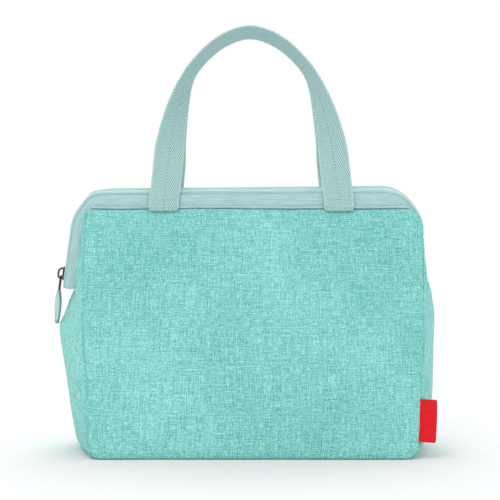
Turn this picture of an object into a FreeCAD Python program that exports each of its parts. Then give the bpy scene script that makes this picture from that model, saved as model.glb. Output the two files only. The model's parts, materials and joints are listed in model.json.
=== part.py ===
import FreeCAD, Part
import math
import os

# Soft insulated lunch bag with a zipped top and two webbing handles.
# Millimetres. The origin is the middle of the base, +Z is up, -Y is the front face
# and the zip tail with the slider is at -X. The two halves of the top swing open
# about the fold lines at FOLD_Z.

# Body
BASE_HALF_X = 132.0          # half width of the base
BASE_HALF_Y = 75.0           # half depth of the base
FOLD_Z = 107.0               # height of the fold line between the tub and the top
FOLD_HALF_X = 140.0
FOLD_HALF_Y = 47.0
RIM_Z = 202.0                # height of the seam between panels and zip band
RIM_HALF_X = 141.0
RIM_HALF_Y = 22.0
CREASE_BASE_X = 143.0        # the pleat of each end stands out past the side seams
CREASE_LEFT_X = 162.0
CREASE_RIGHT_X = 155.0

# Layers, measured inwards from the outside
SHELL_T = 1.2                # woven outer fabric
FOAM_T = 4.0                 # closed-cell insulation
LINER_T = 0.8                # wipe-clean liner
BOARD_T = 1.5                # stiffener under the foam of the base
BOARD_INSET = 6.0

# Zip band: an arch that runs over the top and down both ends
RIDGE_Z = 221.0
BAND_RISE = RIDGE_Z - RIM_Z
TAIL_RISE = 12.0
LEFT_BEND_R = 38.0
LEFT_BEND_X = -116.3
LEFT_BEND_TURN = 83.0
LEFT_TAIL = 52.0
RIGHT_BEND_R = 36.0
RIGHT_BEND_X = 110.6
RIGHT_BEND_TURN = 98.0
RIGHT_TAIL = 40.0
BEND_STEPS = 8
SLOT_HALF_Y = RIM_HALF_Y + 0.4
SLOT_MARGIN = 1.0
ZIP_GAP = 0.15               # each half stops this far from the middle plane

# Sections across the band as (y, depth below the ridge)
BAND_OUTER = [(-22.0, 19.0), (-20.4, 9.0), (-14.0, 3.4), (-8.0, 1.4)]
BAND_INNER = [(-8.0, 2.6), (-13.4, 4.7), (-18.9, 9.6), (-20.6, 19.0)]
TAPE = [(-13.4, 5.4), (-8.0, 3.1), (-3.0, 1.6), (-3.0, 2.3), (-8.0, 3.8), (-13.4, 6.1)]
COIL = [(-2.9, 0.0), (-ZIP_GAP, 0.0), (-ZIP_GAP, 2.6), (-2.9, 2.6)]
WELT = [(-23.4, 18.9), (-23.0, 16.6), (-21.9, 16.6), (-22.1, 18.9)]
BINDING = [(-18.9, 18.9), (-18.9, 12.0), (-18.1, 12.0), (-18.1, 18.9)]

# Handles: webbing that is flat on the band at its ends and twists over the top
WEB_W = 25.4
WEB_T = 1.6
END_T = 2.6                  # the sewn end is folded double
END_LIFT = 2.6               # the sewn end starts this far above the lower seam
HANDLE_X = 73.0
ARCH = [                     # x, y, z and twist of the webbing's centre line
    (-73.0, -22.1, 212.6, 0.0),
    (-71.9, -21.9, 221.0, 0.0),
    (-70.0, -20.6, 244.0, 4.0),
    (-68.0, -18.6, 262.0, 26.0),
    (-63.2, -16.0, 289.6, 50.0),
    (-56.5, -14.2, 312.0, 70.0),
    (-48.0, -13.4, 327.0, 74.0),
    (-33.5, -13.0, 341.5, 74.0),
    (-17.5, -12.8, 351.0, 74.0),
    (0.0, -12.8, 355.4, 74.0),
]

# Slider and pull, placed along the left tail from its lower end
SLIDER_FROM = 6.0
SLIDER_L = 12.0
SLIDER_FRONT_W = 4.6         # reach to the front, where the flange is
SLIDER_REAR_W = 2.4          # the rear coil leaves on this side
SLIDER_CLEAR = 0.6
SLIDER_T = 1.5
FLANGE_DEPTH = 0.5
FLANGE_T = 1.1
BAIL_HALF_W = 0.9
BAIL_H = 4.4
BAIL_T = 1.1
BAIL_L = 9.0
LINK_WIRE = 1.2
LINK_HALF_W = 3.4
LINK_L = 15.0
TAB_W = 10.5
TAB_T = 3.4
TAB_L = 29.0
TAB_OVER = 1.5
EYE_CLEAR = 0.35
NECK_CLEAR = 0.3

# Small pieces
POCKET_HALF_X = 92.0
POCKET_BOTTOM_Z = 22.0
POCKET_TOP_Z = 82.0
POCKET_T = 0.8
POCKET_ELASTIC_H = 8.0
LABEL_Z = (14.0, 48.0)
LABEL_W = 13.0
LABEL_T = 1.2
LABEL_GAP = 0.1
STOP_FROM = 0.6
STOP_L = 2.2
STOP_W = 3.6
STOP_T = 1.0
STOP_CLEAR = 0.05
THREAD_T = 0.5
THREAD_H = 1.0
THREAD_MARGIN = 2.0
THREAD_SHARES = (0.2, 0.75)  # heights of the two rows on the sewn end

V = FreeCAD.Vector
os.makedirs("parts", exist_ok=True)


def save(name, shape):
    """Write one node, after checking that its solids are closed."""
    if not shape.isValid() or not shape.Solids:
        raise ValueError(name + " is not a valid solid")
    Part.makeCompound(shape.Solids).exportStep("parts/" + name + ".step")
    print(name, len(shape.Solids), round(shape.Volume, 1))


def mirrored(shape):
    """The same shape on the rear half."""
    return shape.mirror(V(0, 0, 0), V(0, 1, 0))


def face(points):
    return Part.Face(Part.makePolygon(points + [points[0]]))


def skin(sections):
    """A closed solid through planar sections that have the same number of points."""
    faces = [face(sections[0]), face(sections[-1])]
    for near, far in zip(sections, sections[1:]):
        middle = sum(near + far, V()) * (0.5 / len(near))
        for i in range(len(near)):
            j = (i + 1) % len(near)
            a, b, c, d = near[i], near[j], far[j], far[i]
            if ((a + c) * 0.5).distanceToPoint(middle) >= ((b + d) * 0.5).distanceToPoint(middle):
                faces += [face([a, b, c]), face([a, c, d])]
            else:
                faces += [face([a, b, d]), face([b, c, d])]
    solid = Part.makeSolid(Part.makeShell(faces))
    if solid.Volume < 0:
        solid.reverse()
    return solid


def box(low, high):
    return Part.makeBox(high[0] - low[0], high[1] - low[1], high[2] - low[2], V(*low))


def blend_value(a, b, t):
    return a + (b - a) * t


# ---- Layers of the body -------------------------------------------------------

BIG = 400.0
LEAN = math.atan2(BASE_HALF_Y - RIM_HALF_Y, RIM_Z)


def panel_y(z):
    """Depth of the front panel's outer face at a height."""
    if z <= FOLD_Z:
        return blend_value(-BASE_HALF_Y, -FOLD_HALF_Y, z / FOLD_Z)
    return blend_value(-FOLD_HALF_Y, -RIM_HALF_Y, (z - FOLD_Z) / (RIM_Z - FOLD_Z))


def ring_points(z, inset):
    """The bag's outline at a height, moved inwards by inset."""
    if z <= FOLD_Z:
        t = z / FOLD_Z
        half_x = blend_value(BASE_HALF_X, FOLD_HALF_X, t)
        left = blend_value(CREASE_BASE_X, CREASE_LEFT_X, t)
        right = blend_value(CREASE_BASE_X, CREASE_RIGHT_X, t)
    else:
        t = (z - FOLD_Z) / (RIM_Z - FOLD_Z)
        half_x = blend_value(FOLD_HALF_X, RIM_HALF_X, t)
        left = blend_value(CREASE_LEFT_X, RIM_HALF_X, t)
        right = blend_value(CREASE_RIGHT_X, RIM_HALF_X, t)
    deep = panel_y(z) + inset / math.cos(LEAN)
    side = half_x - inset
    return [
        V(-side, deep, z), V(side, deep, z), V(right - inset, 0, z),
        V(side, -deep, z), V(-side, -deep, z), V(inset - left, 0, z),
    ]


def tub_core(inset, top):
    """The space inside a layer of the tub."""
    foot = [V(p.x, p.y, inset) for p in ring_points(0.0, inset)]
    head = [V(p.x, p.y, top) for p in ring_points(FOLD_Z, inset)]
    return skin([foot, head])


def top_core(inset, low, high):
    """The space inside a layer of the top."""
    foot = [V(p.x, p.y, low) for p in ring_points(FOLD_Z, inset)]
    head = [V(p.x, p.y, high) for p in ring_points(RIM_Z, inset)]
    return skin([foot, head])


def front_slab(depth, z_low, z_high, y_low, y_high):
    """Everything from in front of the bag to a depth behind the front panel."""
    shift = depth / math.cos(LEAN)
    outline = [
        V(-BIG, -BIG, z_low), V(-BIG, y_low + shift, z_low),
        V(-BIG, y_high + shift, z_high), V(-BIG, -BIG, z_high),
    ]
    return face(outline).extrude(V(2 * BIG, 0, 0))


TUB_SLAB = (0.0, FOLD_Z, -BASE_HALF_Y, -FOLD_HALF_Y)
TOP_SLAB = (FOLD_Z, RIM_Z, -FOLD_HALF_Y, -RIM_HALF_Y)


def tub_layer(outer, inner):
    """Base, front, rear, left and right pieces of one layer of the tub."""
    wall = tub_core(outer, FOLD_Z).cut(tub_core(inner, FOLD_Z))
    floor_box = box((-BIG, -BIG, outer), (BIG, BIG, inner))
    base = wall.common(floor_box)
    sides = wall.cut(floor_box)
    slab = front_slab(inner, *TUB_SLAB)
    front = sides.common(slab)
    ends = sides.cut(slab).cut(mirrored(slab))
    left = ends.common(box((-BIG, -BIG, -1.0), (0.0, BIG, BIG)))
    right = ends.common(box((0.0, -BIG, -1.0), (BIG, BIG, BIG)))
    return base, front, mirrored(front), left, right


def top_layer(outer, inner, slots):
    """Front panel, left facet and right facet of one layer of the front half of the top."""
    wall = top_core(outer, FOLD_Z, RIM_Z).cut(top_core(inner, FOLD_Z, RIM_Z))
    half = wall.common(box((-BIG, -BIG, FOLD_Z), (BIG, -ZIP_GAP, RIM_Z)))
    for slot in slots:
        half = half.cut(slot)
    slab = front_slab(inner, *TOP_SLAB)
    ends = half.cut(slab)
    left = ends.common(box((-BIG, -BIG, 0.0), (0.0, BIG, BIG)))
    right = ends.common(box((0.0, -BIG, 0.0), (BIG, BIG, BIG)))
    return half.common(slab), left, right


# ---- Zip band -----------------------------------------------------------------


def band_stations():
    """Points of the ridge with its outward normal and the share of the full rise."""
    tail_share = TAIL_RISE / BAND_RISE
    left = []
    for i in range(BEND_STEPS + 1):
        t = i / BEND_STEPS
        angle = math.radians(90.0 + LEFT_BEND_TURN * t)
        normal = V(math.cos(angle), 0, math.sin(angle))
        centre = V(LEFT_BEND_X, 0, RIDGE_Z - LEFT_BEND_R)
        left.append((centre + normal * LEFT_BEND_R, normal, blend_value(1.0, tail_share, t)))
    point, normal, share = left[-1]
    along = V(-normal.z, 0, normal.x)
    left.append((point + along * LEFT_TAIL, normal, share))
    right = []
    for i in range(BEND_STEPS + 1):
        t = i / BEND_STEPS
        angle = math.radians(90.0 - RIGHT_BEND_TURN * t)
        normal = V(math.cos(angle), 0, math.sin(angle))
        centre = V(RIGHT_BEND_X, 0, RIDGE_Z - RIGHT_BEND_R)
        right.append((centre + normal * RIGHT_BEND_R, normal, blend_value(1.0, tail_share, t)))
    point, normal, share = right[-1]
    along = V(normal.z, 0, -normal.x)
    right.append((point + along * RIGHT_TAIL, normal, share))
    return list(reversed(left)) + right


STATIONS = band_stations()


def along_band(section, stations):
    sections = []
    for point, normal, share in stations:
        sections.append([point - normal * (depth * share) + V(0, y, 0) for y, depth in section])
    return skin(sections)


def tail_slots():
    """The room that the two tails take out of the facets of the top."""
    slots = []
    for (near, near_n, share), (far, far_n, _) in ((STATIONS[0], STATIONS[1]), (STATIONS[-1], STATIONS[-2])):
        depth = BAND_RISE * share + SLOT_MARGIN
        sections = []
        for y in (-SLOT_HALF_Y, SLOT_HALF_Y):
            step = (near - far).normalize() * SLOT_MARGIN
            sections.append([
                near - near_n * depth + step + V(0, y, 0),
                near + near_n * BIG + step + V(0, y, 0),
                V(math.copysign(BIG, near.x), y, RIM_Z + BIG),
                V(far.x, y, RIM_Z + BIG),
                far - near_n * depth + V(0, y, 0),
            ])
        slots.append(skin(sections))
    return slots


# ---- Handles ------------------------------------------------------------------


def arch_stations():
    right = [(-x, y, z, twist) for x, y, z, twist in reversed(ARCH[:-1])]
    return ARCH + right


def handle_webbing():
    stations = arch_stations()
    sections = []
    for i, (x, y, z, twist) in enumerate(stations):
        before = stations[max(i - 1, 0)]
        after = stations[min(i + 1, len(stations) - 1)]
        along = V(after[0] - before[0], 0, after[2] - before[2]).normalize()
        inward = V(along.z, 0, -along.x)
        if i in (0, len(stations) - 1):
            inward = V(1, 0, 0) if i == 0 else V(-1, 0, 0)
        angle = math.radians(twist)
        wide = inward * math.cos(angle) + V(0, -1, 0) * math.sin(angle)
        thick = inward * math.sin(angle) + V(0, 1, 0) * math.cos(angle)
        centre = V(x, y, z)
        corners = [(-1, -1), (1, -1), (1, 1), (-1, 1)]
        sections.append([centre + wide * (a * WEB_W / 2) + thick * (b * WEB_T / 2) for a, b in corners])
    return skin(sections)


def sewn_end(centre_x):
    """The doubled end of the webbing, flat on the steep part of the band."""
    low_y, low_depth = BAND_OUTER[0]
    high_y, high_depth = BAND_OUTER[1]
    low_z = RIDGE_Z - low_depth
    high_z = RIDGE_Z - high_depth
    slope = (high_y - low_y) / (high_z - low_z)
    bottom = low_z + END_LIFT
    profile = [
        (low_y + slope * (bottom - low_z), bottom),
        (high_y, high_z),
        (high_y - END_T, high_z),
        (low_y + slope * (bottom - low_z) - END_T, bottom),
    ]
    left = centre_x - WEB_W / 2
    return face([V(left, y, z) for y, z in profile]).extrude(V(WEB_W, 0, 0))


def sewn_thread(centre_x):
    """A box of lock stitches that stands on the sewn end."""
    end = sewn_end(centre_x)
    bound = end.BoundBox
    rows = []
    half = WEB_W / 2 - THREAD_MARGIN
    for share in THREAD_SHARES:
        z = blend_value(bound.ZMin, bound.ZMax, share)
        y = blend_value(bound.YMin, bound.YMin + (BAND_OUTER[1][0] - BAND_OUTER[0][0]), share)
        rows.append(box((centre_x - half, y - THREAD_T, z), (centre_x + half, y + THREAD_T, z + THREAD_H)))
    return Part.makeCompound([row.cut(end) for row in rows])


# ---- Slider and pull ----------------------------------------------------------

TAIL_END, TAIL_NORMAL, _ = STATIONS[0]
TAIL_UP = (STATIONS[1][0] - STATIONS[0][0]).normalize()


def tail_point(up, out):
    """A point set out from the lower end of the tail's ridge."""
    return TAIL_END + TAIL_UP * up + TAIL_NORMAL * out


def tail_block(up_low, up_high, y_low, y_high, out_low, out_high):
    """A block set out along the left tail: up it, across it and outwards."""
    corners = [(up_low, out_low), (up_high, out_low), (up_high, out_high), (up_low, out_high)]
    outline = [tail_point(up, out) + V(0, y_low, 0) for up, out in corners]
    return face(outline).extrude(V(0, y_high - y_low, 0))


SLIDER_TOP = SLIDER_CLEAR + SLIDER_T
BAIL_FROM = SLIDER_FROM + (SLIDER_L - BAIL_L) / 2
PULL_OUT = SLIDER_TOP + (BAIL_H - BAIL_T) / 2
LINK_PIVOT_UP = BAIL_FROM + BAIL_T + LINK_WIRE
TAB_PIVOT_UP = LINK_PIVOT_UP + LINK_WIRE - LINK_L


def slider_body():
    up_high = SLIDER_FROM + SLIDER_L
    plate = tail_block(SLIDER_FROM, up_high, -SLIDER_FRONT_W, SLIDER_REAR_W, SLIDER_CLEAR, SLIDER_TOP)
    flange_y = -SLIDER_FRONT_W
    flange = tail_block(SLIDER_FROM, up_high, flange_y - FLANGE_T, flange_y, -FLANGE_DEPTH, SLIDER_TOP)
    return plate.fuse(flange).removeSplitter()


def slider_bail():
    bail_to = BAIL_FROM + BAIL_L
    bail_top = SLIDER_TOP + BAIL_H
    outer = tail_block(BAIL_FROM, bail_to, -BAIL_HALF_W, BAIL_HALF_W, SLIDER_TOP, bail_top)
    eye = tail_block(
        BAIL_FROM + BAIL_T, bail_to - BAIL_T, -BAIL_HALF_W, BAIL_HALF_W, SLIDER_TOP, bail_top - BAIL_T)
    return outer.cut(eye)


def pull_link():
    """A flat ring that hangs from the bail along the tail."""
    low_out = PULL_OUT - LINK_WIRE / 2
    high_out = PULL_OUT + LINK_WIRE / 2
    top = LINK_PIVOT_UP + LINK_WIRE / 2
    inner_half = LINK_HALF_W - LINK_WIRE
    outer = tail_block(top - LINK_L, top, -LINK_HALF_W, LINK_HALF_W, low_out, high_out)
    hole = tail_block(top - LINK_L + LINK_WIRE, top - LINK_WIRE, -inner_half, inner_half, low_out, high_out)
    return outer.cut(hole)


def pull_tab():
    """Folded webbing with an eye round the link's lower bar."""
    half_eye = LINK_WIRE / 2 + EYE_CLEAR
    top = TAB_PIVOT_UP + LINK_WIRE / 2 + TAB_OVER
    neck = LINK_HALF_W - LINK_WIRE - NECK_CLEAR
    body = tail_block(
        top - TAB_L, top, -TAB_W / 2, TAB_W / 2, PULL_OUT - TAB_T / 2, PULL_OUT + TAB_T / 2)
    low_up = TAB_PIVOT_UP - half_eye
    eye = tail_block(
        low_up, TAB_PIVOT_UP + half_eye, -TAB_W, TAB_W, PULL_OUT - half_eye, PULL_OUT + half_eye)
    front_notch = tail_block(low_up, top, -TAB_W, -neck, PULL_OUT - TAB_T, PULL_OUT + TAB_T)
    return body.cut(eye).cut(front_notch).cut(mirrored(front_notch))


# ---- Small pieces -------------------------------------------------------------

DEPTH_FOAM = SHELL_T
DEPTH_LINER = SHELL_T + FOAM_T
DEPTH_INSIDE = SHELL_T + FOAM_T + LINER_T


def rear_strip(low_z, high_z, half_x, thick):
    """A flat piece on the inside of the rear wall of the tub."""
    outline = []
    for z, depth in ((low_z, 0), (high_z, 0), (high_z, thick), (low_z, thick)):
        y = -panel_y(z) - (DEPTH_INSIDE + depth) / math.cos(LEAN_TUB)
        outline.append(V(-half_x, y, z))
    return face(outline).extrude(V(2 * half_x, 0, 0))


LEAN_TUB = math.atan2(BASE_HALF_Y - FOLD_HALF_Y, FOLD_Z)


def side_label():
    """A woven tab folded into the right front seam."""
    points = []
    for z in LABEL_Z:
        corner = blend_value(BASE_HALF_X, FOLD_HALF_X, z / FOLD_Z)
        points.append((corner, panel_y(z), z))
    low, high = points
    out = LABEL_GAP
    outline = [
        V(low[0] + out, low[1], low[2]), V(low[0] + out + LABEL_W, low[1], low[2]),
        V(high[0] + out + LABEL_W, high[1], high[2]), V(high[0] + out, high[1], high[2]),
    ]
    return face(outline).extrude(V(0, -LABEL_T, 0))


def end_stop():
    """The crimped stop across the lower end of the zip."""
    return tail_block(STOP_FROM, STOP_FROM + STOP_L, -STOP_W, -ZIP_GAP, STOP_CLEAR, STOP_CLEAR + STOP_T)


# ---- Build --------------------------------------------------------------------

# Outer fabric, foam and liner of the tub
LAYER_NAMES = ("base", "front", "rear", "left", "right")
SHELL_NAMES = (
    "base_panel", "front_panel_lower", "rear_panel_lower", "left_gusset_lower", "right_gusset_lower")
board = box((-BASE_HALF_X + BOARD_INSET, -BASE_HALF_Y + BOARD_INSET, SHELL_T),
            (BASE_HALF_X - BOARD_INSET, BASE_HALF_Y - BOARD_INSET, SHELL_T + BOARD_T))
for name, piece in zip(SHELL_NAMES, tub_layer(0.0, DEPTH_FOAM)):
    save(name, piece)
for name, piece in zip(LAYER_NAMES, tub_layer(DEPTH_FOAM, DEPTH_LINER)):
    save(name + "_foam_lower", piece.cut(board))
save("base_board", board)
tub_liner = tub_core(DEPTH_LINER, FOLD_Z).cut(tub_core(DEPTH_INSIDE, FOLD_Z))
save("liner_tub", tub_liner)

# The same layers of the two halves of the top
slots = tail_slots()
halves = {}
front_panel, left_facet, right_facet = top_layer(0.0, DEPTH_FOAM, slots)
foam_panel, _, _ = top_layer(DEPTH_FOAM, DEPTH_LINER, slots)
liner_panel, liner_left, liner_right = top_layer(DEPTH_LINER, DEPTH_INSIDE, slots)
band = along_band(BAND_OUTER + BAND_INNER, STATIONS)
halves["panel_upper"] = front_panel.cut(band)
halves["foam_upper"] = foam_panel.cut(band)
halves["liner_upper"] = liner_panel.fuse([liner_left, liner_right]).removeSplitter().cut(band)
halves["left_gusset_upper"] = left_facet.cut(band)
halves["right_gusset_upper"] = right_facet.cut(band)

# Zip band, tape, teeth, welt and inner binding
top_stations = STATIONS[BEND_STEPS + 1:-BEND_STEPS - 1]
halves["zip_band"] = band
halves["zip_tape"] = along_band(TAPE, STATIONS)
halves["zip_coil"] = along_band(COIL, STATIONS)
halves["rim_welt"] = along_band(WELT, top_stations)
halves["rim_binding"] = along_band(BINDING, top_stations)

# Handles
halves["handle"] = handle_webbing()
halves["handle_ends"] = Part.makeCompound([sewn_end(-HANDLE_X), sewn_end(HANDLE_X)])
halves["handle_stitching"] = Part.makeCompound([sewn_thread(-HANDLE_X), sewn_thread(HANDLE_X)])
for name, piece in halves.items():
    save("front_" + name, piece)
    save("rear_" + name, mirrored(piece))

# Slider, pull and the small pieces
save("zip_end_stop", end_stop())
save("slider_body", slider_body())
save("slider_bail", slider_bail())
save("pull_link", pull_link())
save("pull_tab", pull_tab())
save("side_label", side_label())
save("mesh_pocket", rear_strip(POCKET_BOTTOM_Z, POCKET_TOP_Z, POCKET_HALF_X, POCKET_T))
elastic_top_z = POCKET_TOP_Z + POCKET_ELASTIC_H
save("pocket_elastic", rear_strip(POCKET_TOP_Z, elastic_top_z, POCKET_HALF_X, 2 * POCKET_T))
print("link pivot", tail_point(LINK_PIVOT_UP, PULL_OUT))
print("tab pivot", tail_point(TAB_PIVOT_UP, PULL_OUT))
print("tail up", TAIL_UP)
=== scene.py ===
import bmesh
import bpy
import json
import math
import numpy as np
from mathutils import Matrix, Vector, noise


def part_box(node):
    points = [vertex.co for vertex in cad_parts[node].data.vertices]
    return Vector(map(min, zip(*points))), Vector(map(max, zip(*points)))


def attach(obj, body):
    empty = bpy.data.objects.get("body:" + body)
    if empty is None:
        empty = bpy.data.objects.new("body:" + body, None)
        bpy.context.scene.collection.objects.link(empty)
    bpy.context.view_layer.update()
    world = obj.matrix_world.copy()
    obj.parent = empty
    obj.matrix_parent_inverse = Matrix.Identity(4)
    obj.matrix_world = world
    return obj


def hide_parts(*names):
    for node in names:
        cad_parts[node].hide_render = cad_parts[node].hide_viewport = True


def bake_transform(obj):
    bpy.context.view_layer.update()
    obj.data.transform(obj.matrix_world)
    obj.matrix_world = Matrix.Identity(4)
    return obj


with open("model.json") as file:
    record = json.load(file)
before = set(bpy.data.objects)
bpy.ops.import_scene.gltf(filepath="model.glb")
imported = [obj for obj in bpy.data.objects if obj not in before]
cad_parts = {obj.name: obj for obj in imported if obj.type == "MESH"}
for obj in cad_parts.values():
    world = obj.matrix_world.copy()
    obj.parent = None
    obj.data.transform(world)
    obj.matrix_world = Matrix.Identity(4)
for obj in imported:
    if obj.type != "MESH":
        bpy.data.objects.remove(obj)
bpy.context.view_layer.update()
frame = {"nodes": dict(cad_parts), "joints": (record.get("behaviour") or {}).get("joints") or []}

MM = 0.001


# ---- Measures taken from the frame ----

def joint(name):
    return next(j for j in frame["joints"] if j["name"] == name)


def box_mm(node):
    low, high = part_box(node)
    return low / MM, high / MM


_, base_high = box_mm("base_panel")
_, panel_high = box_mm("front_panel_upper")
HALF_Y = base_high.y  # half depth of the base
FOLD_Z = joint("front_mouth_open")["pos_m"][2] / MM
RIM_Z = panel_high.z  # seam of panels and zip band
RIM_Y = 22.0  # half depth of the top at that seam
RIDGE_Z = box_mm("front_zip_coil")[1].z
TAIL_UP = Vector(joint("slider_travel")["axis"])
TAIL_OUT = Vector((-TAIL_UP.z, 0, TAIL_UP.x))


# ---- Camera, light and floor ----

CAMERA_TO_FRONT = 1080.0
CAMERA_Z = 168.2
CAMERA_X = -1.2
FRONT_PLANE_WIDTH = 400.0  # how wide the view is at the front of the base

camera_data = bpy.data.cameras.new("camera")
camera_data.sensor_width = 36.0
camera_data.lens = camera_data.sensor_width * CAMERA_TO_FRONT / FRONT_PLANE_WIDTH
camera = bpy.data.objects.new("camera", camera_data)
camera.location = Vector((CAMERA_X, -HALF_Y - CAMERA_TO_FRONT, CAMERA_Z)) * MM
camera.rotation_euler = (math.radians(90), 0, 0)
bpy.context.scene.collection.objects.link(camera)
bpy.context.scene.camera = camera
bpy.context.scene.view_settings.view_transform = "Standard"


def area_light(name, place, target, size, power, colour=(1, 1, 1)):
    data = bpy.data.lights.new(name, "AREA")
    data.shape = "DISK"
    data.size = size
    data.energy = power
    data.color = colour
    light = bpy.data.objects.new(name, data)
    light.location = place
    light.rotation_euler = (Vector(target) - Vector(place)).to_track_quat("-Z", "Y").to_euler()
    bpy.context.scene.collection.objects.link(light)


area_light("key_light", (-0.55, -1.25, 1.5), (0, 0, 0.12), 0.8, 6)
area_light("fill_light", (1.1, -1.3, 0.7), (0, 0, 0.12), 1.2, 1)
area_light("top_light", (0.0, 0.8, 1.5), (0, 0, 0.1), 1.0, 8)
world = bpy.data.worlds.new("studio")
world.use_nodes = True
world.node_tree.nodes["Background"].inputs["Color"].default_value = (1, 1, 1, 1)
world.node_tree.nodes["Background"].inputs["Strength"].default_value = 1.0
bpy.context.scene.world = world


# ---- Material tools ----

class Graph:
    """A material's node tree, with short calls for the nodes that it needs."""

    def __init__(self, name, roughness=0.8, metallic=0.0, specular=0.3, sheen=0.0):
        self.material = bpy.data.materials.new(name)
        self.material.use_nodes = True
        self.tree = self.material.node_tree
        self.shader = self.tree.nodes["Principled BSDF"]
        self.shader.inputs["Roughness"].default_value = roughness
        self.shader.inputs["Metallic"].default_value = metallic
        self.shader.inputs["Specular IOR Level"].default_value = specular
        self.shader.inputs["Sheen Weight"].default_value = sheen
        self.shader.inputs["Sheen Roughness"].default_value = 0.5

    def add(self, kind, inputs=(), **settings):
        node = self.tree.nodes.new(kind)
        for key, value in settings.items():
            setattr(node, key, value)
        for key, value in dict(inputs).items():
            if isinstance(value, bpy.types.NodeSocket):
                self.tree.links.new(value, node.inputs[key])
            else:
                node.inputs[key].default_value = value
        return node

    def math(self, operation, first, second=0.0, third=0.0):
        return self.add("ShaderNodeMath", {0: first, 1: second, 2: third}, operation=operation).outputs[0]

    def coordinates(self):
        """U and V in metres along the cloth."""
        uv = self.add("ShaderNodeTexCoord").outputs["UV"]
        split = self.add("ShaderNodeSeparateXYZ", {0: uv})
        return uv, split.outputs[0], split.outputs[1]

    def noise(self, vector, scale, detail=2.0, roughness=0.55):
        scaled = self.add("ShaderNodeVectorMath", {0: vector, 1: scale}, operation="MULTIPLY").outputs[0]
        inputs = {"Vector": scaled, "Scale": 1.0, "Detail": detail, "Roughness": roughness}
        return self.add("ShaderNodeTexNoise", inputs).outputs["Fac"]

    def wave(self, value, period):
        """A sine of the given period, from 0 to 1."""
        turned = self.math("SINE", self.math("MULTIPLY", value, 2 * math.pi / period))
        return self.math("MULTIPLY_ADD", turned, 0.5, 0.5)

    def ramp(self, value, stops):
        node = self.add("ShaderNodeValToRGB", {0: value})
        elements = node.color_ramp.elements
        while len(elements) < len(stops):
            elements.new(0.5)
        for element, (place, colour) in zip(elements, stops):
            element.position = place
            element.color = (*colour, 1)
        return node.outputs["Color"]

    def mix(self, factor, first, second, blend="MIX"):
        node = self.add("ShaderNodeMix", data_type="RGBA", blend_type=blend)
        for key, value in ((0, factor), (6, first), (7, second)):
            if isinstance(value, bpy.types.NodeSocket):
                self.tree.links.new(value, node.inputs[key])
            else:
                node.inputs[key].default_value = value
        return node.outputs[2]

    def colour(self, socket):
        self.tree.links.new(socket, self.shader.inputs["Base Color"])

    def bump(self, height, strength, distance):
        node = self.add("ShaderNodeBump", {"Height": height, "Strength": strength, "Distance": distance})
        self.tree.links.new(node.outputs[0], self.shader.inputs["Normal"])


def rgb(red, green, blue):
    """A display colour of 0 to 255 as a linear one."""
    def linear(value):
        value /= 255
        return value / 12.92 if value <= 0.04045 else ((value + 0.055) / 1.055) ** 2.4
    return tuple(linear(v) for v in (red, green, blue))


def heather_cloth(name, dark, middle, light, thread=0.62 * MM):
    """Plain weave of uneven, two-tone threads with slubs both ways."""
    g = Graph(name, roughness=0.9, specular=0.15, sheen=0.15)
    uv, u, v = g.coordinates()
    weft = g.noise(uv, (130, 1.0 / thread, 1), 2.0, 0.7)
    warp = g.noise(uv, (1.0 / thread, 130, 1), 2.0, 0.7)
    weft_slub = g.noise(uv, (26, 0.62 / thread, 1), 2.0, 0.6)
    warp_slub = g.noise(uv, (0.62 / thread, 26, 1), 2.0, 0.6)
    fine = g.noise(uv, (1000, 1000, 1), 1.0, 0.7)
    broad = g.noise(uv, (11, 9, 1), 2.0, 0.5)
    tone = g.math("MULTIPLY", g.math("ADD", weft, warp), 0.27)
    tone = g.math("ADD", tone, g.math("MULTIPLY", g.math("ADD", weft_slub, warp_slub), 0.14))
    tone = g.math("ADD", tone, g.math("MULTIPLY_ADD", fine, 0.34, -0.08))
    tone = g.math("ADD", tone, g.math("MULTIPLY_ADD", broad, 0.10, -0.05))
    g.colour(g.ramp(tone, [(0.41, dark), (0.50, middle), (0.59, light)]))
    weave = g.math("MULTIPLY", g.wave(u, 2 * thread), g.wave(v, 2 * thread))
    height = g.math("ADD", g.math("MULTIPLY", weave, 0.5), tone)
    g.bump(height, 0.4, 0.35 * MM)
    return g.material


def twill_cloth(name, dark, middle, light, pitch=1.7 * MM):
    """Fine diagonal rib with a faint unevenness."""
    g = Graph(name, roughness=0.85, specular=0.2, sheen=0.25)
    uv, u, v = g.coordinates()
    rib = g.wave(g.math("ADD", u, v), pitch)
    threads = g.noise(uv, (60, 700, 1), 2.0, 0.6)
    speckle = g.noise(uv, (900, 900, 1), 2.0, 0.6)
    tone = g.math("ADD", g.math("MULTIPLY", rib, 0.34), g.math("MULTIPLY", threads, 0.40))
    tone = g.math("ADD", tone, g.math("MULTIPLY", speckle, 0.26))
    g.colour(g.ramp(tone, [(0.30, dark), (0.50, middle), (0.72, light)]))
    g.bump(g.math("ADD", rib, g.math("MULTIPLY", speckle, 0.4)), 0.5, 0.35 * MM)
    return g.material


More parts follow.
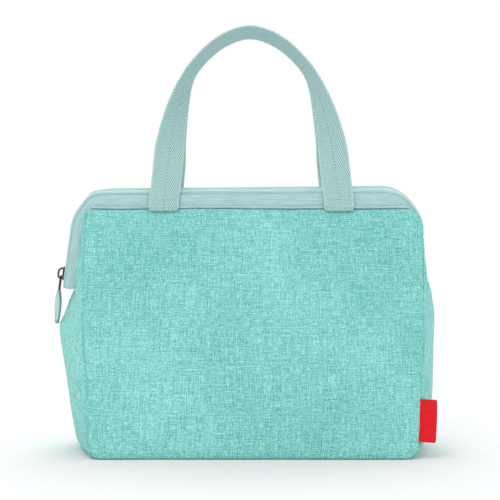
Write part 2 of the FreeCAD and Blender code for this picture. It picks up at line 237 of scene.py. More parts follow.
def herringbone_webbing(name, dark, middle, light, width, pitch=2.7 * MM):
    """Webbing whose ribs meet in a chevron along the middle."""
    g = Graph(name, roughness=0.82, specular=0.22, sheen=0.2)
    uv, u, v = g.coordinates()
    from_middle = g.math("ABSOLUTE", g.math("SUBTRACT", u, width / 2))
    rib = g.wave(g.math("ADD", v, g.math("MULTIPLY", from_middle, 1.5)), pitch)
    warp = g.wave(u, 1.25 * MM)
    speckle = g.noise(uv, (800, 800, 1), 2.0, 0.6)
    middle_line = g.math("LESS_THAN", from_middle, 0.45 * MM)
    selvedge = g.math("GREATER_THAN", from_middle, width / 2 - 1.4 * MM)
    tone = g.math("ADD", g.math("MULTIPLY_ADD", rib, 0.44, 0.02), g.math("MULTIPLY", warp, 0.10))
    tone = g.math("ADD", tone, g.math("MULTIPLY", speckle, 0.36))
    tone = g.math("ADD", tone, g.math("MULTIPLY", selvedge, 0.10))
    tone = g.math("SUBTRACT", tone, g.math("MULTIPLY", middle_line, 0.07))
    g.colour(g.ramp(tone, [(0.22, dark), (0.48, middle), (0.74, light)]))
    g.bump(g.math("ADD", rib, g.math("MULTIPLY", warp, 0.4)), 0.6, 0.45 * MM)
    return g.material


def thread_material(name, colour):
    g = Graph(name, roughness=0.6, specular=0.35, sheen=0.1)
    _, u, v = g.coordinates()
    twist = g.wave(g.math("ADD", u, v), 0.6 * MM)
    g.colour(g.ramp(twist, [(0.0, tuple(c * 0.8 for c in colour)), (1.0, colour)]))
    g.bump(twist, 0.3, 0.1 * MM)
    return g.material


def metal_material(name):
    """Dark plated zinc with worn, brighter patches."""
    g = Graph(name, roughness=0.34, metallic=0.9, specular=0.5)
    where = g.add("ShaderNodeTexCoord").outputs["Object"]
    wear = g.noise(where, (420, 420, 420), 4.0, 0.65)
    g.colour(g.ramp(wear, [(0.3, rgb(46, 48, 52)), (0.75, rgb(96, 99, 103))]))
    rough = g.math("MULTIPLY_ADD", wear, 0.3, 0.2)
    g.tree.links.new(rough, g.shader.inputs["Roughness"])
    g.bump(wear, 0.08, 0.1 * MM)
    return g.material


def film_material(name, colour):
    """Wipe-clean film with a fine emboss."""
    g = Graph(name, roughness=0.42, specular=0.45)
    uv, u, v = g.coordinates()
    cells = g.math("MULTIPLY", g.wave(u, 2.2 * MM), g.wave(v, 2.2 * MM))
    cloud = g.noise(uv, (30, 30, 1), 3.0, 0.6)
    g.colour(g.ramp(cloud, [(0.3, tuple(c * 0.86 for c in colour)), (0.7, colour)]))
    g.bump(g.math("ADD", cells, g.math("MULTIPLY", cloud, 1.5)), 0.35, 0.3 * MM)
    return g.material


def foam_material(name, colour):
    g = Graph(name, roughness=0.95, specular=0.1)
    where = g.add("ShaderNodeTexCoord").outputs["Object"]
    cells = g.add("ShaderNodeTexVoronoi", {"Vector": where, "Scale": 900.0}).outputs["Distance"]
    g.colour(g.ramp(cells, [(0.0, tuple(c * 0.7 for c in colour)), (0.6, colour)]))
    g.bump(cells, 0.4, 0.3 * MM)
    return g.material


WEB_W = 25.4 * MM
SHELL = heather_cloth("mint_heather", rgb(84, 160, 156), rgb(124, 200, 193), rgb(172, 230, 224))
BAND = twill_cloth("pale_twill", rgb(128, 172, 172), rgb(166, 204, 203), rgb(198, 228, 227))
WEBBING = herringbone_webbing(
    "pale_webbing", rgb(118, 160, 160), rgb(160, 197, 196), rgb(198, 226, 225), WEB_W)
TAPE = twill_cloth("zip_tape_cloth", rgb(120, 164, 164), rgb(156, 196, 195), rgb(186, 219, 218), 1.1 * MM)
TEETH = thread_material("zip_coil_nylon", rgb(198, 228, 227))
THREAD = thread_material("pale_thread", rgb(196, 224, 223))
RED = twill_cloth("red_woven_tab", rgb(198, 6, 18), rgb(226, 10, 24), rgb(242, 30, 42), 0.9 * MM)
METAL = metal_material("dark_plated_metal")
LINER = film_material("liner_film", rgb(206, 212, 214))
FOAM = foam_material("insulation_foam", rgb(236, 238, 238))
BINDING = twill_cloth("inner_binding", rgb(92, 128, 128), rgb(120, 158, 157), rgb(150, 184, 183), 1.4 * MM)
MESH = thread_material("pocket_mesh_yarn", rgb(120, 132, 134))


def floor_material():
    """Pale near the bag; further off it gives its own light, so that it meets the white surroundings."""
    g = Graph("pale_floor", roughness=0.9, specular=0.0)
    where = g.add("ShaderNodeTexCoord").outputs["Object"]
    reach = g.add("ShaderNodeVectorMath", {0: where}, operation="LENGTH").outputs["Value"]
    far = g.add("ShaderNodeMapRange", {0: reach, 1: 0.3, 2: 1.0}).outputs[0]
    g.colour(g.mix(far, (0.8, 0.8, 0.8, 1), (0, 0, 0, 1)))
    g.shader.inputs["Emission Color"].default_value = (1, 1, 1, 1)
    g.tree.links.new(far, g.shader.inputs["Emission Strength"])
    return g.material


# ---- Mesh tools ----

def make_object(name, points, faces, uvs, material):
    """A mesh from points in millimetres; uvs has one pair for each point, in metres."""
    mesh = bpy.data.meshes.new(name)
    mesh.from_pydata([tuple(Vector(p) * MM) for p in points], [], faces)
    layer = mesh.uv_layers.new(name="UVMap")
    for loop in mesh.loops:
        layer.data[loop.index].uv = uvs[loop.vertex_index]
    mesh.polygons.foreach_set("use_smooth", [True] * len(mesh.polygons))
    mesh.materials.append(material)
    mesh.update()
    piece = bpy.data.objects.new(name, mesh)
    bpy.context.scene.collection.objects.link(piece)
    return piece


def settle(piece):
    """Applies the piece's modifiers to its mesh."""
    bpy.context.view_layer.update()
    graph = bpy.context.evaluated_depsgraph_get()
    mesh = bpy.data.meshes.new_from_object(piece.evaluated_get(graph))
    piece.modifiers.clear()
    piece.data = mesh
    return piece


def subdivide(piece, levels):
    smooth = piece.modifiers.new("smooth", "SUBSURF")
    smooth.levels = smooth.render_levels = levels


def grid(name, rows, uv_rows, material, thickness=0.0, flip=False, levels=1, closed=False):
    """A sheet through rows of points, with a thickness towards its back."""
    columns = len(rows[0])
    points = [p for row in rows for p in row]
    uvs = [uv for row in uv_rows for uv in row]
    faces = []
    for i in range(len(rows) - 1):
        for j in range(columns if closed else columns - 1):
            k = (j + 1) % columns
            quad = [i * columns + j, i * columns + k, (i + 1) * columns + k, (i + 1) * columns + j]
            faces.append(quad[::-1] if flip else quad)
    piece = make_object(name, points, faces, uvs, material)
    if thickness:
        solid = piece.modifiers.new("thickness", "SOLIDIFY")
        solid.thickness = thickness * MM
        solid.offset = -1
    if levels:
        subdivide(piece, levels)
    return settle(piece)


def seat(piece, body, slot, *nodes):
    """Puts a piece on its body, in place of the nodes that it stands for."""
    if nodes:
        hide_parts(*nodes)
    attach(piece, body)


def hermite(keys):
    """A smooth curve through (place, value) keys that doesn't overshoot."""
    places = np.array([k[0] for k in keys], float)
    values = np.array([k[1] for k in keys], float)
    steps = np.diff(values) / np.diff(places)
    slopes = np.zeros(len(keys))
    slopes[0] = steps[0]
    slopes[-1] = steps[-1]
    for i in range(1, len(keys) - 1):
        if steps[i - 1] * steps[i] > 0:
            slopes[i] = 2 * steps[i - 1] * steps[i] / (steps[i - 1] + steps[i])

    def value(at):
        i = int(np.clip(np.searchsorted(places, at) - 1, 0, len(keys) - 2))
        width = places[i + 1] - places[i]
        t = min(max((at - places[i]) / width, 0.0), 1.0)
        a = (1 + 2 * t) * (1 - t) ** 2
        b = t * (1 - t) ** 2
        c = t * t * (3 - 2 * t)
        d = t * t * (t - 1)
        return a * values[i] + b * width * slopes[i] + c * values[i + 1] + d * width * slopes[i + 1]
    return value


def catmull(points, steps):
    """A smooth path through points, with steps spans between each pair."""
    path = []
    for i in range(len(points) - 1):
        p0 = np.array(points[max(i - 1, 0)], float)
        p1 = np.array(points[i], float)
        p2 = np.array(points[i + 1], float)
        p3 = np.array(points[min(i + 2, len(points) - 1)], float)
        for k in range(steps):
            t = k / steps
            path.append(0.5 * (2 * p1 + (p2 - p0) * t + (2 * p0 - 5 * p1 + 4 * p2 - p3) * t * t
                               + (3 * p1 - p0 - 3 * p2 + p3) * t ** 3))
    path.append(np.array(points[-1], float))
    return path


def mix(a, b, t):
    return a + (b - a) * t


def ease(low, high, value):
    t = min(max((value - low) / (high - low), 0.0), 1.0)
    return t * t * (3 - 2 * t)


noise.seed_set(4)  # the noise vectors depend on the seed
CLOTH_SHIFT = 1.1  # how far the panels' cloth strays from its curves
BAND_SHIFT = 0.5
TAPE_SHIFT = 0.3
WELT_SHIFT = 0.8


def soft_shift(point, amount):
    """A slow unevenness of sewn cloth, the same for every piece that shares the place."""
    p = Vector(point)
    field = noise.noise_vector(p * 0.013 + Vector((3.1, 0.4, 7.7)))
    ripple = noise.noise_vector(p * 0.045 + Vector((9.2, 5.5, 1.3)))
    shift = (field + ripple * 0.35) * amount
    shift.z *= min(1.0, max(p.z, 0.0) / 25.0)
    return p + shift


# ---- The ridge of the zip, left tail to right tail ----

LEFT_BEND = (-116.3, 38.0, 83.0, 52.0)  # centre x, radius, turn, length of the tail
RIGHT_BEND = (110.9, 36.0, 98.0, 56.0)
BAND_RISE = RIDGE_Z - RIM_Z
TAIL_SHARE = 12.0 / BAND_RISE
BEND_SHARE = 15.6 / BAND_RISE


def ridge_path(step=3.0):
    """Points of the zip's ridge, left tail to right tail: place, outward direction, share of the rise."""
    path = []
    for sign, (centre_x, radius, turn, tail) in ((-1, LEFT_BEND), (1, RIGHT_BEND)):
        part = []
        centre = Vector((centre_x, 0, RIDGE_Z - radius))
        count = max(8, int(math.radians(turn) * radius / step))
        for i in range(count + 1):
            t = i / count
            angle = math.radians(90 - sign * turn * t)
            out = Vector((math.cos(angle), 0, math.sin(angle)))
            if sign < 0:
                square = 2.2 * math.exp(-((turn * t - 30.0) / 13.0) ** 2)
            else:
                square = -1.3 * math.exp(-((turn * t - 48.0) / 20.0) ** 2)
            part.append((centre + out * (radius + square), out, mix(1.0, BEND_SHARE, ease(0, 1, t))))
        point, out, share = part[-1]
        along = Vector((sign * out.z, 0, -sign * out.x))
        count = int(tail / step)
        part += [(point + along * (tail * i / count), out, mix(share, TAIL_SHARE, i / count))
                 for i in range(1, count + 1)]
        path.append(part)
    left = path[0][::-1]
    right = path[1]
    gap = right[0][0] - left[-1][0]
    count = int(gap.length / step)
    middle = [(left[-1][0] + gap * (i / count), Vector((0, 0, 1)), 1.0) for i in range(1, count)]
    return left + middle + right


RIDGE = ridge_path()
REACH = [0.0]
for (a, _, _), (b, _, _) in zip(RIDGE, RIDGE[1:]):
    REACH.append(REACH[-1] + (b - a).length)


def ridge_at(reach):
    """Place, outward direction and share at a length along the ridge."""
    i = min(max(int(np.searchsorted(REACH, reach)) - 1, 0), len(RIDGE) - 2)
    t = (reach - REACH[i]) / (REACH[i + 1] - REACH[i])
    a, b = RIDGE[i], RIDGE[i + 1]
    return a[0].lerp(b[0], t), a[1].lerp(b[1], t).normalized(), mix(a[2], b[2], t)


# ---- The sewn body: where its surfaces run ----

# Each curve holds (height, x) keys, or (height, offset) for the bulge, the fold and the crease's y
left_seam = hermite([(0, -121.5), (1.5, -126.8), (6, -130.6), (24, -131.5), (64, -134.6), (97, -137.4),
                     (139, -139.2), (190, -138.8), (199, -138.0), (203, -135.0)])
right_seam = hermite([(0, 125.0), (3, 130.0), (8, 134.0), (16, 135.8), (64, 138.6), (104, 141.4),
                      (152, 143.2), (186, 142.2), (194, 140.4), (199, 137.4), (203, 131.0)])
left_crease = hermite([(0, -139.5), (3, -146.6), (9, -149.8), (36, -154.0), (72, -160.0), (99, -164.2),
                       (104, -164.6), (109, -161.9), (127, -155.0), (140, -151.0), (187, -147.0),
                       (203, -142.0)])
right_crease = hermite([(0, 137.5), (4, 144.5), (12, 149.5), (58, 154.4), (92, 156.2), (112, 156.6),
                        (128, 154.0), (146, 136.0), (203, 131.0)])
right_crease_y = hermite([(0, 0.0), (124, 0.0), (146, 21.0), (203, 21.0)])
left_bulge = hermite([(0, 0.5), (40, 5.0), (104, 1.5), (140, 1.0), (190, 1.5), (203, 0.0)])
right_fold = hermite([(0, 0.0), (12, 2.0), (50, 3.5), (104, 1.5), (124, 2.0), (140, 6.5), (150, 6.6),
                      (172, 3.4), (182, 1.1), (190, 0.4), (203, 0.0)])

SHELL_T = 1.1
PANEL_COLUMNS = 72
PANEL_ROWS = 54
FACET_COLUMNS = 24
GUSSET_TOP = 200.0
INNER_TOP = {-1: 192.0, 1: 158.0}  # the pocket round the right tail holds no padding


def panel_y(z):
    return mix(-HALF_Y, -RIM_Y, z / RIM_Z)


def face_y(z):
    """The panel's face, which passes in front of the zip band at the top."""
    return panel_y(z) - 3.0 * ease(150, 188, z)


def edge_roll(z):
    """How far the panel's edges turn back to their seams."""
    return mix(2.6, 0.8, ease(150, 188, z))


def corner_inset(z, inset):
    """The inner layers stop short of the two top corners."""
    return inset + (26.0 * ease(158, 200, z) if inset else 0.0)


def tail_x(z):
    """Where the ridge of the left tail is at a height."""
    foot = RIDGE[0][0]
    return foot.x + (z - foot.z) * TAIL_UP.x / TAIL_UP.z


def panel_rows(inset, side):
    """The front or rear panel, crowned, with its edges drawn back to the seams."""
    rows = []
    for i in range(PANEL_ROWS + 1):
        v = i / PANEL_ROWS
        v = mix(v, 0.5 - 0.5 * math.cos(math.pi * v), 0.6)
        z = mix(0.4 + inset, RIM_Z + 0.4 - inset, v)
        row = []
        for j in range(PANEL_COLUMNS + 1):
            u = j / PANEL_COLUMNS
            u = mix(u, 0.5 - 0.5 * math.cos(math.pi * u), 0.6)
            margin = corner_inset(z, inset)
            x = mix(left_seam(z) + margin, right_seam(z) - margin, u)
            edge = min(u * 2, 2 - 2 * u)
            roll_x = 1 - (1 - min(edge * 22, 1.0)) ** 2.4
            roll_z = 1 - (1 - min((1 - v) * 34, 1.0)) ** 2.4
            roll_base = 1 - (1 - min(v * 24, 1.0)) ** 2.4
            crown = 2.2 * math.sin(math.pi * u) ** 0.6 * math.sin(math.pi * min(max(v, 0), 1)) ** 0.6
            y = face_y(z) + inset + edge_roll(z) * (1 - min(roll_x, roll_z) * roll_base) - crown
            row.append(soft_shift((x, -side * y, z), CLOTH_SHIFT))
        rows.append(row)
    return rows


def facet_point(s, z, inset, end, side):
    """A point of an end gusset from the panel seam, s = 0, to the pleat's crease, s = 1."""
    parting = 0.25 * ease(58, 66, z)
    if end < 0:
        seam_x = left_seam(z) + inset
        crease_x = left_crease(z) + inset
        crease_y = parting
        out = -left_bulge(z)
    else:
        seam_x = right_seam(z) - inset
        crease_x = right_crease(z) - inset
        crease_y = right_crease_y(z) + parting + 1.5 * inset * ease(122, 134, z)
        out = right_fold(z)
    seam_y = -(face_y(z) + edge_roll(z)) - inset
    bow = math.sin(math.pi * s)
    x = mix(seam_x, crease_x, s) + out * bow
    y = mix(seam_y, crease_y, s) + (2.0 * bow if z < FOLD_Z else 0.0)
    tucked = ease(126, 146, z)
    if end < 0 and tucked:
        ledge = tail_x(z) + mix(11.0, 13.6, (z - 138) / 50) + inset
        if s < 0.5:
            along = s * 2
            bent = (mix(seam_x, ledge, along) - 0.8 * math.sin(math.pi * along), mix(seam_y, 21.5, along))
        else:
            bent = (mix(ledge, ledge + 0.6, s * 2 - 1), mix(21.5, crease_y, s * 2 - 1))
        x = mix(x, bent[0], tucked)
        y = mix(y, bent[1], tucked)
    return soft_shift((x, side * y, z), CLOTH_SHIFT)


def facet_rows(inset, end, side):
    """Half of an end gusset, from the base to its top."""
    rows = []
    for i in range(PANEL_ROWS + 1):
        v = i / PANEL_ROWS
        v = mix(v, 0.5 - 0.5 * math.cos(math.pi * v), 0.6)
        z = mix(0.4 + inset, INNER_TOP[end] if inset else GUSSET_TOP, v)
        shares = [j / FACET_COLUMNS for j in range(FACET_COLUMNS + 1)]
        rows.append([facet_point(s, z, inset, end, side) for s in shares])
    return rows


def cloth_uvs(rows, turn=0.0):
    """Lengths along the rows and columns, in metres, so that the weave keeps its scale."""
    uvs = []
    height = 0.0
    middle = len(rows[0]) // 2
    for i, row in enumerate(rows):
        if i:
            height += (Vector(row[middle]) - Vector(rows[i - 1][middle])).length
        reach = [0.0]
        for a, b in zip(row, row[1:]):
            reach.append(reach[-1] + (Vector(b) - Vector(a)).length)
        uvs.append([((r - reach[middle]) * MM, height * MM) for r in reach])
    if turn:
        c, s = math.cos(turn), math.sin(turn)
        uvs = [[(u * c - v * s, u * s + v * c) for u, v in row] for row in uvs]
    return uvs


MOUTH = {-1: "front_mouth", 1: "rear_mouth"}
SIDE_NAME = {-1: "front", 1: "rear"}
END_NAME = {-1: "left", 1: "right"}


def bend_with_top(piece):
    """Bakes the placing into the mesh of cloth that spans the tub below the fold and one half of the top
    above it.
    """
    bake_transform(piece)


def declare_cloth(rows):
    """Works out the width, length and area of the sheet through these rows, without keeping or passing
    them on.
    """
    width = max(sum((b - a).length for a, b in zip(row, row[1:])) for row in rows)
    length = 0.0
    area = 0.0
    middle = len(rows[0]) // 2
    for low_row, high_row in zip(rows, rows[1:]):
        length += (high_row[middle] - low_row[middle]).length
        for a, b, c, d in zip(low_row, low_row[1:], high_row[1:], high_row):
            area += ((b - a).cross(d - a).length + (b - c).cross(d - c).length) / 2
    area = min(area, width * length)


def body_layers():
    """Outer cloth, foam and liner of the panels and of the end gussets."""
  # names of the panel's and the gusset's layer, inset, thickness, material, slot
    layers = (
        ("panel", "gusset", 0.0, SHELL_T, SHELL, "shell_fabric"),
        ("foam", "gusset_foam", 1.5, 3.0, FOAM, "foam"),
        ("liner", "gusset_liner", 5.0, 0.6, LINER, "liner"),
    )
    for panel, gusset, inset, thickness, material, slot in layers:
        for side in (-1, 1):
            rows = panel_rows(inset, side)
            name = f"{SIDE_NAME[side]}_{panel}"
            piece = grid(name, rows, cloth_uvs(rows), material, thickness, flip=side > 0)
            nodes = [f"{name}_lower", f"{name}_upper"] if panel != "liner" else [f"{name}_upper"]
            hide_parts(*nodes)
            if panel == "foam":
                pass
            else:
                declare_cloth(rows)
            bend_with_top(piece)
            for end in (-1, 1):
                rows = facet_rows(inset, end, side)
                name = f"{END_NAME[end]}_{SIDE_NAME[side]}_{gusset}"
                turn = math.radians(45) if panel == "panel" else 0.0
                uvs = cloth_uvs(rows, turn)
                facet = grid(name, rows, uvs, material, thickness, flip=end * side > 0)
                if panel == "panel":
                    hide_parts(f"{END_NAME[end]}_gusset_lower",
                                f"{SIDE_NAME[side]}_{END_NAME[end]}_gusset_upper")
                elif panel == "foam":
                    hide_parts(f"{END_NAME[end]}_foam_lower")
                if panel == "foam":
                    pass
                else:
                    declare_cloth(rows)
                bend_with_top(facet)


PLEAT_LOW = 120.0
PLEAT_HIGH = 147.0
PLEAT_SHORT = 0.4  # each turn-in ends this far from the middle plane
PLEAT_STEPS = 12


def pleat_turn_ins():
    """The gusset's cloth that turns in at the right pleat and lies under the end of the zip."""
    for side in (-1, 1):
        rows = []
        for i in range(PLEAT_STEPS + 1):
            t = i / PLEAT_STEPS
            edge = facet_point(1.0, mix(PLEAT_LOW, PLEAT_HIGH, t), 0.0, 1, side)
            low = mix(116.5, 121.0, t)
            row = []
            for j in range(PLEAT_STEPS + 1):
                s = j / PLEAT_STEPS
                down = ease(0, 0.5, s)
                y = mix(edge.y, edge.y * 0.85, down)
                if s >= 0.5:
                    y = mix(edge.y * 0.85, side * PLEAT_SHORT, s * 2 - 1)
                x = edge.x - 0.9 - 6.0 * s * s
                row.append(Vector((x, y, mix(edge.z, low, down))))
            rows.append(row)
        piece = grid(f"{SIDE_NAME[side]}_pleat_turn_in", rows, cloth_uvs(rows), SHELL, 1.0)
        declare_cloth(rows)
        bend_with_top(piece)


def base_outline(inset, z, steps=18):
    """The base's edge, with its pleated ends."""
    outline = []
    for side in (-1, 1):
        ends = (-1, 1) if side < 0 else (1, -1)
        first = [facet_point(s / steps, z, inset, ends[0], side) for s in range(steps, 0, -1)]
        seam = [facet_point(0, z, inset, e, side) for e in ends]
        middle = [seam[0].lerp(seam[1], t / (2 * steps)) for t in range(2 * steps)]
        last = [facet_point(s / steps, z, inset, ends[1], side) for s in range(steps)]
        outline += first + middle + last
    return outline


def base_piece(name, inset, edge_z, floor_z, thickness, material, nodes):
    """A sheet across the bottom whose edge turns up to meet the walls."""
    edge = base_outline(inset, edge_z)
    rings = [(1.0, edge_z), (0.995, mix(edge_z, floor_z, 0.6))]
    rings += [(share, floor_z) for share in (0.985, 0.9, 0.6, 0.3, 0.02)]
    rows = [[Vector((p.x * share, p.y * share, z)) for p in edge] for share, z in rings]
    uvs = [[(p.x * MM, p.y * MM) for p in row] for row in rows]
    piece = grid(name, rows, uvs, material, thickness, flip=True, closed=True)
    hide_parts(*nodes)
    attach(piece, "tub")


# ---- Zip band ----

def off_ridge(reach, y, depth, side):
    """A point off the ridge; the zip stands a little prouder along the top than on its tails."""
    point, out, share = ridge_at(reach)
    top = max(share - BEND_SHARE, 0.0) / (1 - BEND_SHARE)
    proud = (1.4 + 0.004 * point.x) * top * ease(-13.0, -8.0, y) + 0.005 * point.x * top
    return point + out * (proud - depth * share) + Vector((0, -side * y, 0))


# Sections across one half of the zip as (y, depth below the ridge); y is negative towards the panel
BAND_TOP = [(-22.6, 19.6), (-22.9, 17.0), (-22.8, 13.0), (-22.5, 9.2), (-22.0, 7.3), (-21.2, 6.3),
            (-20.2, 5.7), (-20.0, 5.3), (-20.7, 4.7), (-20.6, 3.7), (-19.2, 2.6), (-17.0, 2.0),
            (-14.0, 1.7), (-10.8, 1.6), (-9.6, 1.9), (-9.2, 2.8)]
BAND_BACK = [(-9.8, 3.3), (-12.6, 3.3), (-15.6, 3.8), (-17.6, 4.9), (-19.2, 7.2), (-20.6, 11.0),
             (-21.0, 16.0), (-21.0, 19.4)]
TAPE_TOP = [(-13.4, 3.9), (-9.0, 3.5), (-6.0, 2.5), (-3.8, 1.3), (-1.6, 0.9)]
TAPE_BACK = [(-1.6, 1.9), (-3.8, 2.3), (-6.2, 3.2), (-9.2, 4.2), (-13.4, 4.6)]
STRIP_STEP = 3.0  # spacing of the sections along the ridge
COIL_PITCH = 1.5
STITCH_PITCH = 3.0
STITCH_LENGTH = 2.3


def along_ridge(name, section, side, material, pucker=0.0):
    """A closed strip with a section, swept along the ridge of the zip."""
    rows = []
    uv_rows = []
    count = int(REACH[-1] / STRIP_STEP)
    shift = BAND_SHIFT if pucker else TAPE_SHIFT
    across = [0.0]
    for a, b in zip(section, section[1:]):
        across.append(across[-1] + math.dist(a, b))
    for i in range(count + 1):
        reach = REACH[-1] * i / count
        row = []
        for y, depth in section:
            wrinkle = pucker * math.sin(reach * 0.9) * math.exp(-((y + 19.0) / 3.0) ** 2)
            row.append(soft_shift(off_ridge(reach, y, depth + wrinkle, side), shift))
        rows.append(row)
        uv_rows.append([(reach * MM, a * MM) for a in across])
    piece = grid(name, rows, uv_rows, material, levels=0, closed=True, flip=side > 0)
    cap_ends(piece, len(section), len(rows))
    subdivide(piece, 1)
    return settle(piece)


def cap_ends(piece, columns, rows):
    """Closes the two ends of a swept strip."""
    mesh = bmesh.new()
    mesh.from_mesh(piece.data)
    mesh.verts.ensure_lookup_table()
    for start in (0, (rows - 1) * columns):
        ring = [mesh.verts[start + j] for j in range(columns)]
        mesh.faces.new(ring)
    bmesh.ops.recalc_face_normals(mesh, faces=mesh.faces)
    mesh.to_mesh(piece.data)
    mesh.free()


def capsule_row(name, spots, radius, material, sides=6):
    """Many short rounded bars in one mesh; spots holds (start, end) of each."""
    points = []
    faces = []
    uvs = []
    for start, end in spots:
        axis = end - start
        length = axis.length
        axis.normalize()
        side = axis.orthogonal().normalized()
        up = axis.cross(side)
        base = len(points)
        rings = [(0.0, 0.25), (0.12, 0.8), (0.3, 1.0), (0.7, 1.0), (0.88, 0.8), (1.0, 0.25)]
        for share, scale in rings:
            for k in range(sides):
                angle = 2 * math.pi * k / sides
                offset = (side * math.cos(angle) + up * math.sin(angle)) * radius * scale
                points.append(start + axis * (length * share) + offset)
                uvs.append((share * length * MM, k / sides * radius * 6 * MM))
        for r in range(len(rings) - 1):
            for k in range(sides):
                n = (k + 1) % sides
                a = base + r * sides
                faces.append([a + k, a + n, a + sides + n, a + sides + k])
        faces.append([base + k for k in range(sides)][::-1])
        last = base + (len(rings) - 1) * sides
        faces.append([last + k for k in range(sides)])
    return make_object(name, points, faces, uvs, material)


def zip_pieces():
    """The band's cloth, the tape, the coil and the topstitching of each half."""
    for side in (-1, 1):
        half = SIDE_NAME[side]
        band = along_ridge(f"{half}_band_cloth", BAND_TOP + BAND_BACK, side, BAND, pucker=0.25)
        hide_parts(f"{half}_zip_band")
        tape = along_ridge(f"{half}_tape_cloth", TAPE_TOP + TAPE_BACK, side, TAPE)
        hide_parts(f"{half}_zip_tape")
        shift = 0.0 if side < 0 else COIL_PITCH / 2
        spots = []
        for k in range(int((REACH[-1] - 2.0) / COIL_PITCH)):
            reach = 1.0 + shift + k * COIL_PITCH
            outer = off_ridge(reach - 0.25, -3.0, 1.2, side)
            spots.append((outer, off_ridge(reach + 0.1, -0.1, 0.7, side)))
        coil = capsule_row(f"{half}_coil_turns", spots, 0.62, TEETH)
        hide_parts(f"{half}_zip_coil")
        stitches = []
        for k in range(int((REACH[-1] - 4.0) / STITCH_PITCH)):
            reach = 2.0 + k * STITCH_PITCH
            first = off_ridge(reach, -20.6, 5.5, side)
            stitches.append((first, off_ridge(reach + STITCH_LENGTH, -20.6, 5.5, side)))
        seam = capsule_row(f"{half}_band_topstitch", stitches, 0.3, THREAD)
        for piece in (band, tape, coil, seam):
            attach(piece, MOUTH[side])


# ---- Seams, handles and the small pieces ----

def tube(name, path, radius, material, sides=8, flat=1.0):
    """A round or flattened cord of cloth along a path, closed at both ends."""
    points = []
    uvs = []
    faces = []
    reach = 0.0
    for i, place in enumerate(path):
        before = Vector(path[max(i - 1, 0)])
        after = Vector(path[min(i + 1, len(path) - 1)])
        axis = (after - before).normalized()
        if i:
            reach += (Vector(place) - Vector(path[i - 1])).length
        side = axis.cross(Vector((0, 1, 0)))
        side = side.normalized() if side.length > 0.1 else axis.orthogonal().normalized()
        up = side.cross(axis).normalized()
        for k in range(sides):
            angle = 2 * math.pi * k / sides
            across = side * math.cos(angle) * radius
            points.append(Vector(place) + across + up * math.sin(angle) * radius * flat)
            uvs.append((reach * MM, angle * radius * MM))
    for i in range(len(path) - 1):
        for k in range(sides):
            n = (k + 1) % sides
            a = i * sides
            faces.append([a + k, a + sides + k, a + sides + n, a + n])
    faces.append(list(range(sides)))
    faces.append([(len(path) - 1) * sides + k for k in range(sides)][::-1])
    return make_object(name, points, faces, uvs, material)


def seam_ridges():
    """The turned seam between each panel and each end gusset."""
    for side in (-1, 1):
        for end in (-1, 1):
            path = []
            for i in range(61):
                z = mix(1.6, RIM_Z - 4.0, i / 60)
                at = facet_point(0.035, z, 0.0, end, side)
                path.append(at + Vector((end * 0.2, side * 0.1, 0)))
            ridge = tube(f"{END_NAME[end]}_{SIDE_NAME[side]}_seam", path, 0.75, SHELL, flat=0.8)
            bend_with_top(ridge)


def rim_welts():
    """The folded edge where the panel meets the zip band."""
    for side in (-1, 1):
        path = []
        for i in range(91):
            x = mix(left_seam(RIM_Z - 2) + 3.0, right_seam(RIM_Z - 2) - 4.0, i / 90)
            path.append(soft_shift((x, side * (RIM_Y + 1.5), RIM_Z + 1.9), WELT_SHIFT))
        welt = tube(f"{SIDE_NAME[side]}_welt_fold", path, 1.15, BAND, flat=0.9)
        seat(welt, MOUTH[side], "band_fabric", f"{SIDE_NAME[side]}_rim_welt")


ARCH = [  # x, y, z and twist, left foot to the top
    (-73.5, -27.2, 202.4, 0.0),
    (-73.2, -25.4, 208.4, 0.0),
    (-73.0, -24.2, 213.6, 0.0),
    (-71.7, -22.8, 222.0, 0.0),
    (-69.5, -20.6, 244.0, 6.0),
    (-67.3, -18.6, 262.0, 27.0),
    (-61.2, -16.0, 289.6, 50.0),
    (-53.6, -14.2, 312.0, 69.0),
    (-45.0, -13.4, 325.8, 74.0),
    (-31.2, -13.0, 339.6, 74.0),
    (-16.4, -12.8, 348.6, 74.0),
    (0.0, -12.8, 352.6, 74.0),
]
ARCH_LEAN = 1.2
WEB_HALF = 12.7
WEB_CORNER = [(-12.7, 0.0), (-12.5, 0.55), (-11.6, 0.8), (-8.0, 0.85), (-0.9, 0.85)]
WEB_FACE = WEB_CORNER + [(0.0, 0.7)] + [(-a, b) for a, b in WEB_CORNER[::-1]]
WEB_EDGE = WEB_FACE + [(a, -b) for a, b in WEB_FACE[-2:0:-1]]


